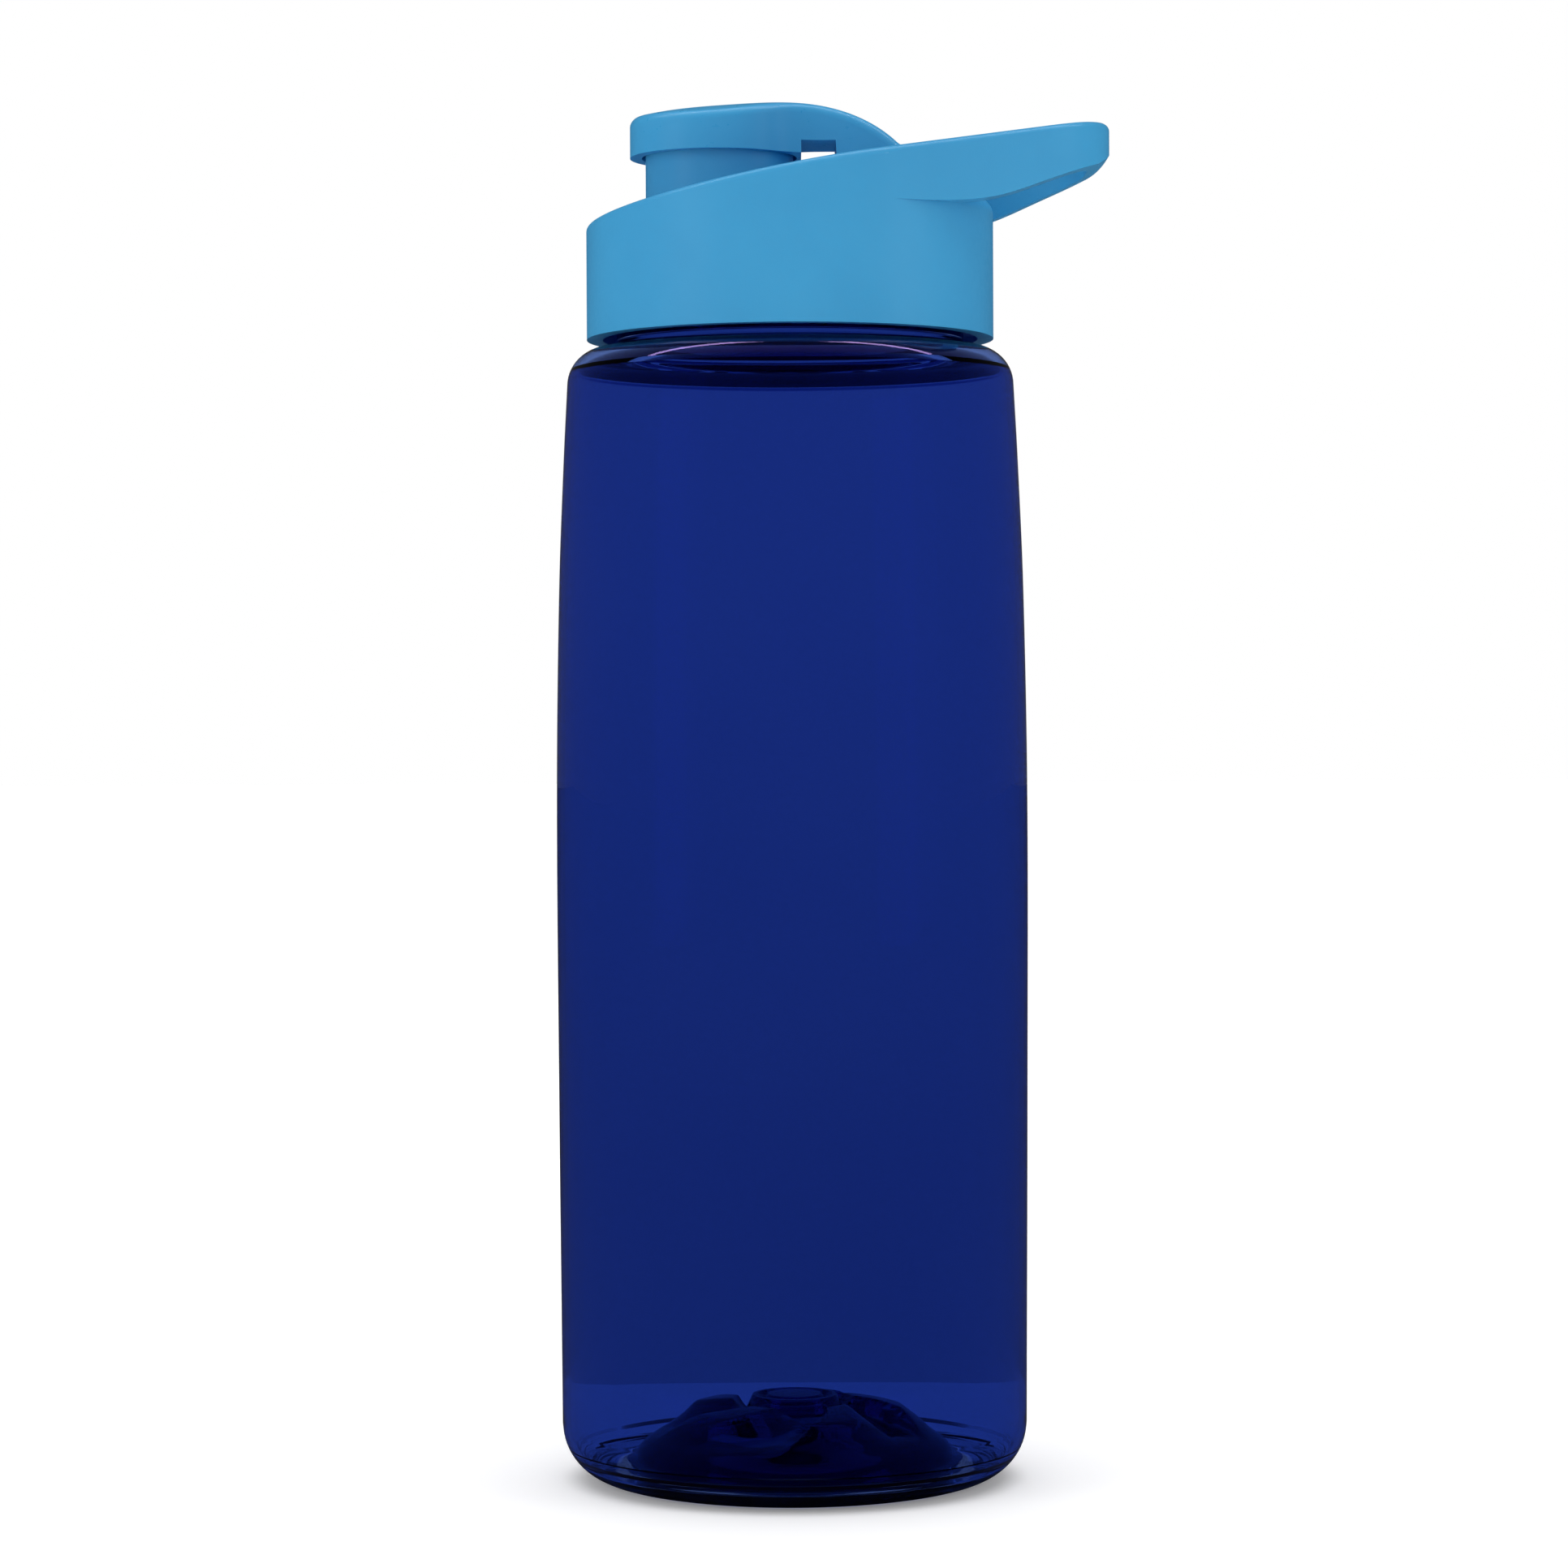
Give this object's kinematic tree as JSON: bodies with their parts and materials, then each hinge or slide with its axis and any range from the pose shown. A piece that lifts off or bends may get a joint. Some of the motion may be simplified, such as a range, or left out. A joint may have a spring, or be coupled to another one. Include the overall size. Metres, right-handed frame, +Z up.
{
  "type": "sports squeeze bottle",
  "caption": "Clear sports drinking bottle with a screw-on lid, a carry loop, a drinking spout and a hinged flip cover that seals the spout.",
  "frame": {"origin": "on the bottle's axis, in the plane of the base ring it stands on", "axes": "+Z up along the bottle's axis; +X towards the carry loop; the drinking spout is towards -X; +Y completes the right-handed set"},
  "size_m": [0.0896, 0.076, 0.2216],
  "materials": {
    "clear_blue_body": "clear polished plastic, tinted deep blue",
    "sky_blue_lid": "satin moulded plastic",
    "sky_blue_cover": "satin moulded plastic",
    "mouth_seal": "translucent silicone",
    "spout_seal": "translucent silicone",
    "pin_plastic": "moulded",
    "valve_silicone": "translucent silicone"
  },
  "bodies": {
    "bottle": {"bottle_body": "clear_blue_body"},
    "seal": {"lid_seal": "mouth_seal"},
    "lid": {"screw_lid": "sky_blue_lid", "hinge_pin": "pin_plastic", "vent_valve": "valve_silicone"},
    "cover": {"flip_cover": "sky_blue_cover", "cover_seal": "spout_seal"}
  },
  "joints": [
    {"name": "lid_lift", "type": "slide", "parent": "bottle", "child": "seal", "axis": [0, 0, 1], "range_m": [0, 0.02]},
    {"name": "lid_turn", "type": "hinge", "parent": "seal", "child": "lid", "pos_m": [0, 0, 0.19], "axis": [0, 0, 1], "range_deg": [0, 1800]},
    {"name": "cover_hinge", "type": "hinge", "parent": "lid", "child": "cover", "pos_m": [0.0225, 0, 0.2086], "axis": [0, 1, 0], "range_deg": [0, 120]}
  ],
  "couplings": [
    {"joint": "lid_lift", "follows": "lid_turn", "m_per_rad": 0.00063662}
  ]
}
